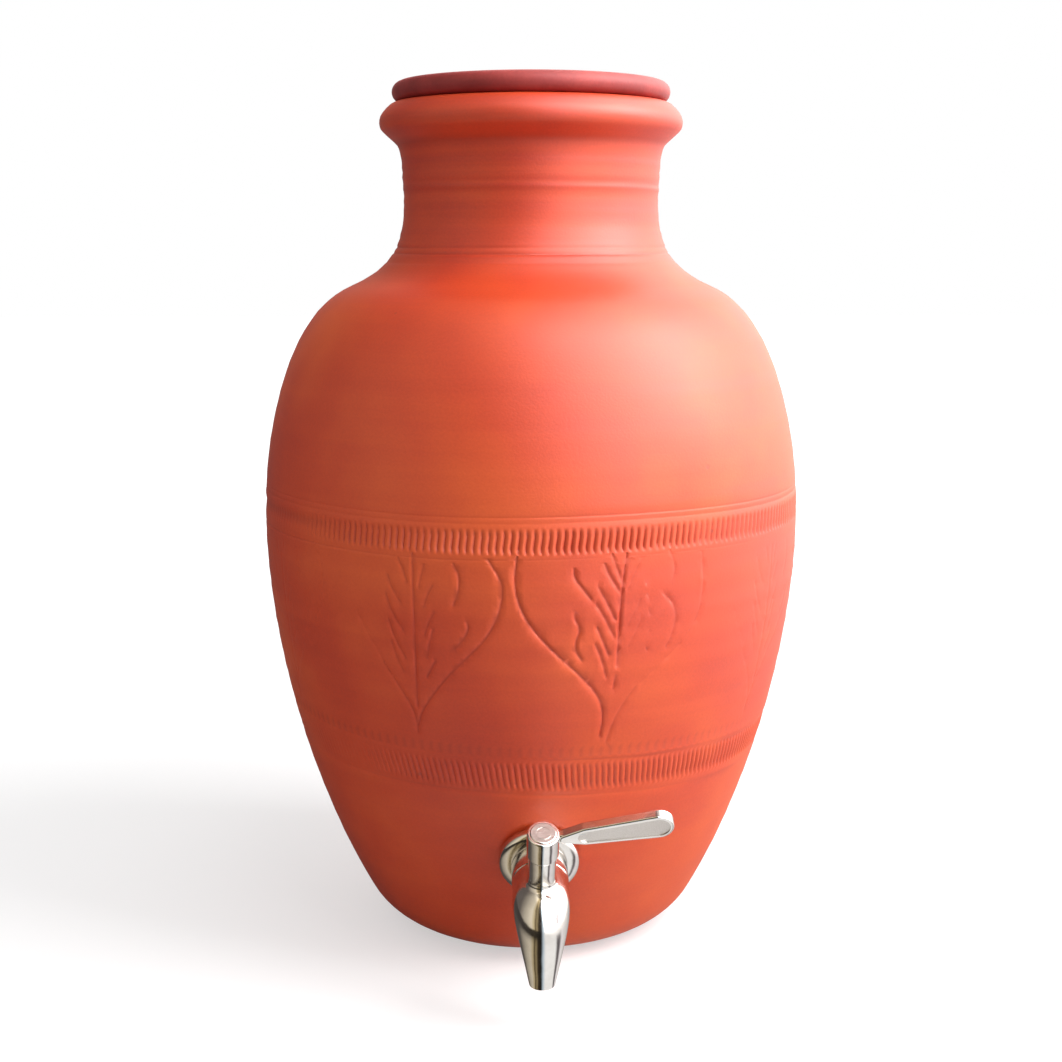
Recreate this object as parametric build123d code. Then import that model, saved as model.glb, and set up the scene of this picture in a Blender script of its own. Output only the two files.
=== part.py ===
from build123d import *
from math import cos, hypot, radians, sin
import os

# Terracotta water pot with a lift-off lid and a quarter-turn stainless ball tap low in its wall.
# Units are millimetres. The pot's axis is Z, z = 0 is the plane it stands on, and -Y is its front.

# ---------------------------------------------------------------- fits that several pieces share
RUNNING_GAP = 0.05      # radial play of a turning piece in its hole
STATIC_GAP = 0.05       # radial play between fixed pieces that slip or screw together

# ---------------------------------------------------------------- pot, thrown in red clay
POT_HEIGHT = 375.0      # foot to lip
WALL = 8.0
FLOOR = 10.0
FOOT_RADIUS = 48.6      # flat disc that it stands on
HEEL_ROUND = 32.9       # radius of the turn from the foot to the wall
HEEL_ANGLE = 61.5       # how far that turn goes, in degrees
BELLY_RADIUS = 121.8
BELLY_HEIGHT = 191.5
SHOULDER_RADIUS = 82.8  # where the round shoulder turns into the hollow throat
SHOULDER_HEIGHT = 294.2
SHOULDER_SLOPE = 24.0   # degrees above level at that place
NECK_RADIUS = 57.0      # narrowest place outside
NECK_HEIGHT = 333.0
LIP_BEAD = 9.0          # radius of the rolled rim's section
LIP_RADIUS = 67.4       # outermost radius of the rolled rim
MOUTH_RADIUS = 49.5     # clear radius of the mouth
LIP_ROUND = 2.0         # rounding of the mouth's inner edge
# How far each end of a curve keeps that end's direction.
HEEL_PULL = 52.5
BELLY_PULL_DOWN = 60.0
BELLY_PULL_UP = 37.0
SHOULDER_PULL = 30.6
THROAT_PULL = 19.8
NECK_PULL = 22.7
RIM_PULL = 12.0
INNER_STEPS = 7         # points that shape each inner curve
# The pot is thrown in three sections, luted together while damp and fired as one piece.
LOWER_SEAM_HEIGHT = 98.8  # height where the base meets the belly, hidden by the lower band
UPPER_SEAM_HEIGHT = 270.0  # height where the belly meets the shoulder and neck

# ---------------------------------------------------------------- lid, a thrown clay disc
LID_RADIUS = 61.8
LID_THICKNESS = 9.0
LID_SPIGOT_PLAY = 1.0   # between the ring under the lid and the mouth
LID_SPIGOT_DEPTH = 8.0
LID_SPIGOT_WIDTH = 6.0
LID_DISH_RADIUS = 50.0  # hollow in the top
LID_DISH_DEPTH = 3.5
LID_KNOB_RADIUS = 13.0
LID_KNOB_RISE = 3.0     # above the lid's edge

# ---------------------------------------------------------------- where the tap goes through the wall
TAP_HEIGHT = 59.0       # of the hole's centre on the outer wall
SEAT_CUT = 1.2          # flat pared into the outer wall round the hole
SEAT_RADIUS = 18.4      # of that flat, and of the one inside
HOLE_PLAY = 0.5         # round the threaded shank

# ---------------------------------------------------------------- threaded shank and what clamps it
SHANK_RADIUS = 8.0
SHANK_BORE = 4.25       # radius of the water way
SHANK_TAIL = 5.0        # thread left past the nut
WASHER_PLAY = 0.3       # round the shank
RUBBER_RADIUS = 14.0
RUBBER_THICKNESS = 2.5
STEEL_WASHER_RADIUS = 14.5
STEEL_WASHER_THICKNESS = 1.5
NUT_FLATS = 24.0
NUT_THICKNESS = 7.0
NUT_CHAMFER = 1.0

# ---------------------------------------------------------------- domed flange against the wall
FLANGE_RADIUS = 17.1
FLANGE_LIP = 0.9        # rim that hides the rubber washer's edge
FLANGE_EDGE = 1.3       # thickness of the rim
FLANGE_DOME = 4.0       # thickness at the barrel
FLANGE_LAND = 12.4      # radius of the flat that the barrel's end presses on

# ---------------------------------------------------------------- tap body: barrel, neck and spout
BARREL_RADIUS = 11.8
BARREL_END_ROUND = 0.6
STEM_OFFSET = 18.0      # from the barrel's inner end to the stem's axis
STEM_LEAN = 9.0         # degrees that the stem leans outward from square to the barrel
NECK_OUT_RADIUS = 5.65  # of the tap's own neck, under the handle
NECK_OUT_TOP = 27.3     # above the ball's centre
NECK_OUT_ROUND = 0.3
NECK_ROOT_ROUND = 2.4   # hollow curve where the neck grows out of the body
SPOUT_BORE = 3.7
SPOUT_TIP_ROUND = 0.9
# Centres (outward from the stem's axis, above the barrel's axis), droop in degrees and radius of the spout.
SPOUT_SECTIONS = [
    ((-9.0, 0.0), 0.0, BARREL_RADIUS),
    ((4.0, 0.0), 0.0, BARREL_RADIUS),
    ((12.0, -3.2), 38.0, 10.8),
    ((17.2, -10.4), 57.0, 8.8),
    ((20.2, -18.4), 67.0, 6.9),
    ((22.3, -26.6), 70.0, 5.2),
]

# ---------------------------------------------------------------- ball, seats and stem
BALL_RADIUS = 7.4
BALL_BORE = 4.0
SEAT_RING_BORE = 4.3
SEAT_RING_NEAR = 4.4    # nearest face of a seat ring to the ball's centre
SEAT_RING_FAR = 8.0
SEAT_PLAY = 0.04        # between the ball and its rings
TONGUE_WIDTH = 2.4      # of the stem, in the slot on top of the ball
TONGUE_LENGTH = 5.6
TONGUE_LOW = 5.4
TONGUE_PLAY = 0.08
STEM_RADIUS = 2.75
SHOULDER_DISC_RADIUS = 4.2
SHOULDER_DISC_LOW = 8.9
SHOULDER_DISC_THICK = 1.8
ORING_SECTION = 0.45    # radius of the ring's section
ORING_HEIGHTS = [14.5, 20.5]
ORING_GROOVE_HALF = 0.65
ORING_SQUEEZE_GAP = 0.01
SQUARE_FLATS = 4.2      # of the stem's top, in the handle
SQUARE_LENGTH = 7.0

# ---------------------------------------------------------------- handle
THRUST_THICKNESS = 0.6  # washer between neck and handle
THRUST_GAP = 0.1
HUB_RADIUS = 6.5
HUB_HEIGHT = 12.4
HUB_ROUND = 0.7
HUB_WEB = 1.6           # floor that the screw holds
HUB_CUP_RADIUS = 4.9    # hollow over the screw, closed by the cap
SQUARE_PLAY = 0.05
PIN_RADIUS = 0.8        # stop pin in the neck's top
PIN_ORBIT = 4.4         # from the stem's axis
PIN_PRESS = 3.0         # depth in the neck
PIN_RISE = 1.5          # above the thrust washer
PIN_PLAY = 0.15
PIN_BEARING = 135.0     # where the pin stands round the stem, from the shut lever
HANDLE_TURN = 90.0      # from closed to open
LEVER_REACH = 51.0      # from the stem's axis to the tip
LEVER_LIFT = 10.75        # degrees above square to the stem
LEVER_AXIS_HEIGHT = 8.9  # of its middle line at the stem, above the hub's underside
LEVER_ROOT_HEIGHT = 9.2  # of the blade near the hub
LEVER_TIP_HEIGHT = 12.4
LEVER_THICKNESS = 4.4
LEVER_NECK_HEIGHT = 4.4
LEVER_NECK_THICKNESS = 3.6
LEVER_FLARE_START = 8.6  # where the blade begins to widen from its neck
LEVER_FLARE_HEIGHT = 4.4
LEVER_BLADE_START = 12.5
LEVER_ROUND = 0.7
PANEL_BORDER = 1.4
PANEL_DEPTH = 0.5
SCREW_RADIUS = 1.5
SCREW_HEAD_RADIUS = 2.7
SCREW_HEAD_HEIGHT = 1.8
SCREW_HEAD_ROUND = 0.3
SCREW_GRIP = 6.0        # thread below the head
SCREW_LENGTH = 6.5      # depth of the tapped hole in the stem
SCREW_SOCKET_FLATS = 2.5
SCREW_SOCKET_DEPTH = 1.2
CAP_RADIUS = 5.3
CAP_SINK = 1.1          # depth of the seat that the cap sits in
CAP_THICKNESS = 1.4
CAP_ROUND = 0.45
CAP_SKIRT_DEPTH = 1.6
CAP_SKIRT_WALL = 0.8
CAP_RING_RADIUS = 3.2   # raised ring on the cap's face
CAP_RING_WIDTH = 0.5
CAP_RING_RISE = 0.15

# ---------------------------------------------------------------- shapes shared by the pieces


def polar(length, angle):
    """A step of that length, angle degrees above level, as (radius, height)."""
    return Vector(length * cos(radians(angle)), length * sin(radians(angle)))


def turned(*edges):
    """The solid that a closed (radius, height) outline makes about Z."""
    face = make_face(Wire(edges))
    return revolve(Plane.XZ * face, Axis.Z)


def rod(place, radius, low, high):
    """A round bar along the place's Z, between two heights."""
    bar = Cylinder(radius, high - low, align=(Align.CENTER, Align.CENTER, Align.MIN))
    return place * Pos(0, 0, low) * bar


def ring(place, radius, bore, low, high):
    return rod(place, radius, low, high) - rod(place, bore, low - 1, high + 1)


# ---------------------------------------------------------------- pot


def wall_curves():
    """The outside from foot to lip, as (radius, height) curves."""
    foot = Vector(FOOT_RADIUS, 0)
    centre = foot + Vector(0, HEEL_ROUND)
    heel_top = centre + polar(HEEL_ROUND, HEEL_ANGLE - 90)
    belly = Vector(BELLY_RADIUS, BELLY_HEIGHT)
    turn = Vector(SHOULDER_RADIUS, SHOULDER_HEIGHT)
    inward = polar(1, 180 - SHOULDER_SLOPE)
    neck = Vector(NECK_RADIUS, NECK_HEIGHT)
    heel = ThreePointArc(foot, centre + polar(HEEL_ROUND, HEEL_ANGLE / 2 - 90), heel_top)
    lower_hold = heel_top + polar(HEEL_PULL, HEEL_ANGLE)
    wall = Bezier(heel_top, lower_hold, belly - Vector(0, BELLY_PULL_DOWN), belly)
    shoulder = Bezier(belly, belly + Vector(0, BELLY_PULL_UP), turn - inward * SHOULDER_PULL, turn)
    throat = Bezier(turn, turn + inward * THROAT_PULL, neck - Vector(0, NECK_PULL), neck)
    return heel, wall, shoulder, throat


def inside_of(curve):
    """Points one wall thickness inside a curve."""
    points = []
    for step in range(INNER_STEPS):
        along = curve % (step / (INNER_STEPS - 1))
        points.append(curve @ (step / (INNER_STEPS - 1)) + Vector(-along.Y, along.X) * WALL)
    return points


def pot_outside():
    heel, wall, shoulder, throat = wall_curves()
    bead = Vector(LIP_RADIUS - LIP_BEAD, POT_HEIGHT - LIP_BEAD)
    neck = Vector(NECK_RADIUS, NECK_HEIGHT)
    under = bead - Vector(0, LIP_BEAD)
    return turned(
        Line((0, 0), (FOOT_RADIUS, 0)),
        heel,
        wall,
        shoulder,
        throat,
        Bezier(neck, neck + Vector(0, RIM_PULL), under),
        ThreePointArc(under, bead + Vector(LIP_BEAD, 0), bead + Vector(0, LIP_BEAD)),
        Line((bead.X, POT_HEIGHT), (0, POT_HEIGHT)),
        Line((0, POT_HEIGHT), (0, 0)),
    )


def pot_inside():
    """The hollow, with the mouth's rounded edge."""
    heel, wall, shoulder, throat = wall_curves()
    chain = inside_of(wall) + inside_of(shoulder)[1:] + inside_of(throat)[1:]
    edge = Vector(MOUTH_RADIUS, POT_HEIGHT - LIP_ROUND)
    centre = edge + Vector(LIP_ROUND, 0)
    throat_top = Vector(MOUTH_RADIUS, NECK_HEIGHT + WALL)
    floor_edge = Vector(FOOT_RADIUS - WALL, FLOOR)
    return turned(
        Line((0, FLOOR), floor_edge),
        Spline(floor_edge, chain[0], tangents=[(1, 0), wall % 0]),
        Spline(*chain, tangents=[wall % 0, (0, 1)]),
        Line(chain[-1], throat_top),
        Line(throat_top, edge),
        ThreePointArc(edge, centre + polar(LIP_ROUND, 135), centre + Vector(0, LIP_ROUND)),
        Line(centre + Vector(0, LIP_ROUND), (0, POT_HEIGHT)),
        Line((0, POT_HEIGHT), (0, FLOOR)),
    )


def wall_at(height):
    """Where the outer wall is at a height, as (radius, height), and its direction there."""
    wall = wall_curves()[1]
    low, high = 0.0, 1.0
    while high - low > 1e-6:
        middle = (low + high) / 2
        if (wall @ middle).Y < height:
            low = middle
        else:
            high = middle
    return wall @ low, wall % low


# The tap's own place: its Z leads straight out of the wall and its Y up, square to that.
SPOT, RISE = wall_at(TAP_HEIGHT)
TAP = Plane(origin=(0, -SPOT.X, SPOT.Y), x_dir=(1, 0, 0), z_dir=(0, -RISE.Y, -RISE.X)).location
RUBBER_OUT = RUBBER_THICKNESS - SEAT_CUT
FLANGE_OUT = RUBBER_OUT + FLANGE_DOME
BALL_OUT = FLANGE_OUT + STEM_OFFSET
# The stem's place: its Z runs up the stem from the ball's centre and its Y back to the wall.
STEM = TAP * Pos(0, 0, BALL_OUT) * Rot(STEM_LEAN - 90, 0, 0)
HUB_LOW = NECK_OUT_TOP + THRUST_THICKNESS + THRUST_GAP
HUB_TOP = HUB_LOW + HUB_HEIGHT
CAP_LOW = HUB_TOP - CAP_SINK
WEB_TOP = HUB_LOW + SQUARE_LENGTH + THRUST_GAP + HUB_WEB
CAVITY_RADIUS = SHANK_RADIUS + STATIC_GAP
DISC_TOP = SHOULDER_DISC_LOW + SHOULDER_DISC_THICK
PIN = STEM * Rot(0, 0, PIN_BEARING) * Pos(PIN_ORBIT, 0, 0)
NUT_OUT = -WALL - RUBBER_THICKNESS - STEEL_WASHER_THICKNESS


def pot_section(low, high):
    """The thrown wall between two heights."""
    wide = 3 * BELLY_RADIUS
    slab = Pos(0, 0, (low + high) / 2) * Box(wide, wide, high - low)
    return (pot_outside() - pot_inside()) & slab


def pot_base():
    """Floor, heel and lower wall, with the hole for the tap and its two pared flats."""
    base = pot_section(-WALL, LOWER_SEAM_HEIGHT)
    base -= rod(TAP, SHANK_RADIUS + HOLE_PLAY, -3 * WALL, WALL)
    base -= rod(TAP, SEAT_RADIUS, -SEAT_CUT, WALL)
    base -= rod(TAP, SEAT_RADIUS, -4 * WALL, -WALL)
    return base


def pot_belly():
    return pot_section(LOWER_SEAM_HEIGHT, UPPER_SEAM_HEIGHT)


def pot_neck():
    """Upper shoulder, neck and rolled rim."""
    return pot_section(UPPER_SEAM_HEIGHT, POT_HEIGHT + WALL)


def pot_lid():
    under = POT_HEIGHT
    half = LID_THICKNESS / 2
    top = under + LID_THICKNESS
    rim = LID_RADIUS - half
    lid = turned(
        Line((0, under), (rim, under)),
        ThreePointArc((rim, under), (LID_RADIUS, under + half), (rim, top)),
        Line((rim, top), (LID_DISH_RADIUS, top)),
        Bezier(
            (LID_DISH_RADIUS, top),
            (LID_DISH_RADIUS - LID_DISH_DEPTH, top),
            (LID_DISH_RADIUS - LID_DISH_DEPTH, top - LID_DISH_DEPTH),
            (LID_DISH_RADIUS - 3 * LID_DISH_DEPTH, top - LID_DISH_DEPTH),
        ),
        Line((LID_DISH_RADIUS - 3 * LID_DISH_DEPTH, top - LID_DISH_DEPTH), (0, top - LID_DISH_DEPTH)),
        Line((0, top - LID_DISH_DEPTH), (0, under)),
    )
    knob = Cylinder(
        LID_KNOB_RADIUS, LID_DISH_DEPTH + LID_KNOB_RISE, align=(Align.CENTER, Align.CENTER, Align.MIN)
    )
    knob = fillet(knob.edges().sort_by(Axis.Z)[-1], LID_KNOB_RISE)
    lid += Pos(0, 0, top - LID_DISH_DEPTH) * knob
    outer = MOUTH_RADIUS - LID_SPIGOT_PLAY
    lid += ring(Location(), outer, outer - LID_SPIGOT_WIDTH, under - LID_SPIGOT_DEPTH, under)
    return lid


# ---------------------------------------------------------------- what clamps the tap to the wall


def tap_shank():
    front = BALL_OUT - SEAT_RING_FAR
    return ring(TAP, SHANK_RADIUS, SHANK_BORE, NUT_OUT - NUT_THICKNESS - SHANK_TAIL, front)


def outer_washer():
    return ring(TAP, RUBBER_RADIUS, SHANK_RADIUS + WASHER_PLAY, -SEAT_CUT, RUBBER_OUT)


def inner_washer():
    return ring(TAP, RUBBER_RADIUS, SHANK_RADIUS + WASHER_PLAY, -WALL - RUBBER_THICKNESS, -WALL)


def steel_washer():
    return ring(TAP, STEEL_WASHER_RADIUS, SHANK_RADIUS + WASHER_PLAY, NUT_OUT, -WALL - RUBBER_THICKNESS)


def back_nut():
    """Six-sided nut, its corners turned off at both ends."""
    hexagon = RegularPolygon(NUT_FLATS / 2, 6, major_radius=False)
    nut = extrude(hexagon, NUT_THICKNESS)
    corner = NUT_FLATS / 2 / cos(radians(30))
    blank = Cylinder(corner, NUT_THICKNESS, align=(Align.CENTER, Align.CENTER, Align.MIN))
    nut &= chamfer(blank.edges().filter_by(GeomType.CIRCLE), NUT_CHAMFER)
    nut = TAP * Pos(0, 0, NUT_OUT - NUT_THICKNESS) * nut
    return nut - rod(TAP, SHANK_RADIUS + STATIC_GAP, NUT_OUT - NUT_THICKNESS - 1, NUT_OUT + 1)


def wall_flange():
    low = RUBBER_OUT - FLANGE_LIP
    edge = low + FLANGE_EDGE
    top = FLANGE_OUT
    dome = turned(
        Line((0, low), (FLANGE_RADIUS, low)),
        Line((FLANGE_RADIUS, low), (FLANGE_RADIUS, edge)),
        Bezier((FLANGE_RADIUS, edge), (FLANGE_RADIUS, top), (FLANGE_LAND, top)),
        Line((FLANGE_LAND, top), (0, top)),
        Line((0, top), (0, low)),
    )
    dome = TAP * dome
    dome -= rod(TAP, RUBBER_RADIUS + WASHER_PLAY, low - 1, RUBBER_OUT)
    return dome - rod(TAP, SHANK_RADIUS + WASHER_PLAY, low - 1, top + 1)


# ---------------------------------------------------------------- tap body


def spout_loft(bore):
    """Circles along the spout's bent middle line, joined smoothly: its outside, or its bore."""
    circles = []
    for (out, up), droop, radius in SPOUT_SECTIONS:
        place = TAP * Pos(0, up, BALL_OUT + out) * Rot(droop, 0, 0)
        circles.append(place * Circle(bore or radius))
    return loft(circles)


def spout_tip():
    """The place of the spout's mouth, its Z leading out of it."""
    (out, up), droop, radius = SPOUT_SECTIONS[-1]
    return TAP * Pos(0, up, BALL_OUT + out) * Rot(droop, 0, 0)


def neck_root(body):
    """The edges where the neck for the stem grows out of the rest of the casting."""
    level = Plane(STEM)
    edges = []
    for edge in body.edges():
        middle = level.to_local_coords(edge @ 0.5)
        on_neck = abs(hypot(middle.X, middle.Y) - NECK_OUT_RADIUS) < 0.01
        if on_neck and BARREL_RADIUS / 2 < middle.Z < NECK_OUT_TOP / 1.5:
            edges.append(edge)
    return edges


def tap_body():
    """One casting: barrel, neck for the stem and bent spout, bored for the water and the valve."""
    straight = BALL_OUT + SPOUT_SECTIONS[0][0][0]
    barrel = Cylinder(
        BARREL_RADIUS, straight - FLANGE_OUT, align=(Align.CENTER, Align.CENTER, Align.MIN)
    )
    barrel = fillet(barrel.edges().filter_by(GeomType.CIRCLE).sort_by(Axis.Z)[0], BARREL_END_ROUND)
    neck = Cylinder(NECK_OUT_RADIUS, NECK_OUT_TOP, align=(Align.CENTER, Align.CENTER, Align.MIN))
    neck = fillet(neck.edges().filter_by(GeomType.CIRCLE).sort_by(Axis.Z)[-1], NECK_OUT_ROUND)
    spout = spout_loft(None)
    spout = fillet(spout.edges().sort_by_distance(spout_tip().position)[0], SPOUT_TIP_ROUND)
    body = TAP * Pos(0, 0, FLANGE_OUT) * barrel + spout + STEM * neck
    body = fillet(neck_root(body), NECK_ROOT_ROUND)
    cavity_end = BALL_OUT + SEAT_RING_FAR + STATIC_GAP
    body -= rod(TAP, CAVITY_RADIUS, FLANGE_OUT - 1, cavity_end)
    body -= spout_loft(SPOUT_BORE)
    body -= rod(STEM, SHOULDER_DISC_RADIUS + STATIC_GAP, 0, DISC_TOP + RUNNING_GAP)
    body -= rod(STEM, STEM_RADIUS + RUNNING_GAP, 0, NECK_OUT_TOP + 1)
    body -= rod(PIN, PIN_RADIUS, NECK_OUT_TOP - PIN_PRESS, NECK_OUT_TOP + 1)
    return body


# ---------------------------------------------------------------- ball valve inside the barrel


def valve_ball():
    """Drilled ball, shut: its bore lies across the barrel, and falls in line with it once turned."""
    ball = Sphere(BALL_RADIUS)
    ball -= Rot(0, 90 - STEM_LEAN, 0) * Cylinder(BALL_BORE, 3 * BALL_RADIUS)
    slot_width = TONGUE_WIDTH + 2 * TONGUE_PLAY
    slot = Box(2 * BALL_RADIUS, slot_width, BALL_RADIUS, align=(Align.CENTER, Align.CENTER, Align.MIN))
    ball -= Pos(0, 0, TONGUE_LOW - TONGUE_PLAY) * slot
    return STEM * ball


def seat_ring(side):
    """Plastic ring between the ball and the barrel's end or the shank, hollowed to the ball."""
    near, far = sorted((side * SEAT_RING_NEAR, side * SEAT_RING_FAR))
    seat = ring(TAP, SHANK_RADIUS, SEAT_RING_BORE, BALL_OUT + near, BALL_OUT + far)
    return seat - STEM * Sphere(BALL_RADIUS + SEAT_PLAY)


def seat_ring_front():
    return seat_ring(1)


def seat_ring_back():
    return seat_ring(-1)


def stem():
    """Spindle put in from inside the barrel: tongue, holding disc, ring grooves and square end."""
    square_low = HUB_LOW
    top = HUB_LOW + SQUARE_LENGTH
    disc = Cylinder(
        SHOULDER_DISC_RADIUS, SHOULDER_DISC_THICK, align=(Align.CENTER, Align.CENTER, Align.MIN)
    )
    spindle = Pos(0, 0, SHOULDER_DISC_LOW) * disc
    tongue = Box(TONGUE_LENGTH, TONGUE_WIDTH, SHOULDER_DISC_LOW - TONGUE_LOW,
                 align=(Align.CENTER, Align.CENTER, Align.MIN))
    spindle += Pos(0, 0, TONGUE_LOW) * tongue
    spindle += rod(Location(), STEM_RADIUS, SHOULDER_DISC_LOW, square_low)
    drive = extrude(Rectangle(SQUARE_FLATS, SQUARE_FLATS), SQUARE_LENGTH)
    drive &= Cylinder(STEM_RADIUS, 2 * SQUARE_LENGTH)
    spindle += Pos(0, 0, square_low) * drive
    groove_depth = 2 * ORING_SECTION + ORING_SQUEEZE_GAP - RUNNING_GAP
    for height in ORING_HEIGHTS:
        low, high = height - ORING_GROOVE_HALF, height + ORING_GROOVE_HALF
        spindle -= ring(Location(), STEM_RADIUS + 1, STEM_RADIUS - groove_depth, low, high)
    spindle -= rod(Location(), SCREW_RADIUS, top - SCREW_LENGTH, top + 1)
    return STEM * spindle


def stem_rings():
    """The two rubber rings in the stem's grooves."""
    middle = STEM_RADIUS + RUNNING_GAP - ORING_SQUEEZE_GAP - ORING_SECTION
    rings = [Pos(0, 0, height) * Torus(middle, ORING_SECTION) for height in ORING_HEIGHTS]
    return STEM * Compound(children=rings)


# ---------------------------------------------------------------- handle


def thrust_washer():
    washer = ring(STEM, NECK_OUT_RADIUS, STEM_RADIUS + WASHER_PLAY, NECK_OUT_TOP,
                  NECK_OUT_TOP + THRUST_THICKNESS)
    return washer - rod(PIN, PIN_RADIUS + STATIC_GAP, NECK_OUT_TOP - 1, HUB_LOW + 1)


def stop_pin():
    """Pin that the slot under the handle meets when the tap is shut and when it is open."""
    return rod(PIN, PIN_RADIUS, NECK_OUT_TOP - PIN_PRESS, NECK_OUT_TOP + THRUST_THICKNESS + PIN_RISE)


def lever_ends(border):
    """The two circles that shape the lever's blade on its middle line, narrowed by a border."""
    root = LEVER_ROOT_HEIGHT / 2
    tip = LEVER_TIP_HEIGHT / 2
    far = LEVER_REACH / cos(radians(LEVER_LIFT))
    return [
        Pos(LEVER_BLADE_START + root, 0) * Circle(root - border),
        Pos(far - tip, 0) * Circle(tip - border),
    ]


def wrapped(circles):
    """One outline drawn tight round some circles."""
    return make_hull([edge for circle in circles for edge in circle.edges()])


def lever_handle():
    """Casting: round hub, short neck and upright blade with a sunk panel on each side."""
    hub = Cylinder(HUB_RADIUS, HUB_HEIGHT, align=(Align.CENTER, Align.CENTER, Align.MIN))
    hub = fillet(hub.edges().filter_by(GeomType.CIRCLE), HUB_ROUND)
    side = Plane.XZ.location * Rot(0, 0, LEVER_LIFT)
    thick = LEVER_THICKNESS / 2
    flare = Pos(LEVER_FLARE_START, 0) * Circle(LEVER_FLARE_HEIGHT / 2)
    blade = extrude(wrapped([flare] + lever_ends(0)), thick, both=True)
    blade = fillet(blade.faces().filter_by(Plane.XY).edges(), LEVER_ROUND)
    panel = wrapped(lever_ends(PANEL_BORDER))
    for face in (1, -1):
        cut = extrude(panel, face * 2 * PANEL_DEPTH)
        blade -= Pos(0, 0, face * (thick - PANEL_DEPTH)) * cut
    neck_length = LEVER_BLADE_START + LEVER_ROOT_HEIGHT / 2 - HUB_CUP_RADIUS
    neck = Box(neck_length, LEVER_NECK_HEIGHT, LEVER_NECK_THICKNESS, align=(Align.MIN, Align.CENTER, Align.CENTER))
    neck = Pos(HUB_CUP_RADIUS, 0, 0) * fillet(neck.edges().filter_by(Axis.X), LEVER_ROUND)
    handle = hub + Pos(0, 0, LEVER_AXIS_HEIGHT) * side * (blade + neck)
    handle = STEM * Pos(0, 0, HUB_LOW) * handle
    hole = SQUARE_FLATS + 2 * SQUARE_PLAY
    drive = extrude(Rectangle(hole, hole), SQUARE_LENGTH + THRUST_GAP) & Cylinder(
        STEM_RADIUS + SQUARE_PLAY, 4 * SQUARE_LENGTH
    )
    handle -= STEM * Pos(0, 0, HUB_LOW) * drive
    handle -= rod(STEM, SCREW_RADIUS + SQUARE_PLAY, HUB_LOW, HUB_TOP)
    handle -= rod(STEM, HUB_CUP_RADIUS, WEB_TOP, HUB_TOP + 1)
    handle -= rod(STEM, CAP_RADIUS + STATIC_GAP, CAP_LOW, HUB_TOP + 1)
    handle -= pin_slot()
    return handle


def pin_slot():
    """Arc under the hub that lets the pin pass from shut to open and no further."""
    wide = PIN_RADIUS + PIN_PLAY
    depth = HUB_LOW + PIN_RISE - THRUST_GAP + PIN_PLAY
    band = ring(STEM, PIN_ORBIT + wide, PIN_ORBIT - wide, HUB_LOW - 1, depth)
    reach = 2 * HUB_RADIUS
    wedge = Box(reach, reach, 2 * depth, align=(Align.MIN, Align.MIN, Align.MIN))
    slot = band & (STEM * Rot(0, 0, PIN_BEARING) * wedge)
    for turn in (0, HANDLE_TURN):
        end = STEM * Rot(0, 0, PIN_BEARING + turn) * Pos(PIN_ORBIT, 0, 0)
        slot += rod(end, wide, HUB_LOW - 1, depth)
    return slot


def handle_screw():
    """Screw with a six-sided socket that holds the handle on the stem's square."""
    head = rod(Location(), SCREW_HEAD_RADIUS, 0, SCREW_HEAD_HEIGHT)
    head = fillet(head.edges().filter_by(GeomType.CIRCLE).sort_by(Axis.Z)[-1], SCREW_HEAD_ROUND)
    screw = head + rod(Location(), SCREW_RADIUS - STATIC_GAP, -SCREW_GRIP, 0)
    socket = extrude(RegularPolygon(SCREW_SOCKET_FLATS / 2, 6, major_radius=False), SCREW_SOCKET_DEPTH)
    screw -= Pos(0, 0, SCREW_HEAD_HEIGHT - SCREW_SOCKET_DEPTH) * socket
    return STEM * Pos(0, 0, WEB_TOP) * screw


def cap_button():
    """Plain cover sunk in the hub over the screw, with one raised ring on its face."""
    disc = rod(Location(), CAP_RADIUS, 0, CAP_THICKNESS)
    disc = fillet(disc.edges().filter_by(GeomType.CIRCLE).sort_by(Axis.Z)[-1], CAP_ROUND)
    disc += ring(Location(), CAP_RING_RADIUS, CAP_RING_RADIUS - CAP_RING_WIDTH, CAP_THICKNESS,
                 CAP_THICKNESS + CAP_RING_RISE)
    skirt = HUB_CUP_RADIUS - STATIC_GAP
    disc += ring(Location(), skirt, skirt - CAP_SKIRT_WALL, -CAP_SKIRT_DEPTH, 0)
    return STEM * Pos(0, 0, CAP_LOW) * disc


PIECES = [
    pot_base, pot_belly, pot_neck, pot_lid, wall_flange, outer_washer, inner_washer, steel_washer,
    back_nut, tap_shank, tap_body, seat_ring_front, seat_ring_back, valve_ball, stem, stem_rings,
    thrust_washer, stop_pin, lever_handle, handle_screw, cap_button,
]
os.makedirs("parts", exist_ok=True)
for piece in PIECES:
    export_step(piece(), "parts/" + piece.__name__ + ".step")
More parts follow.
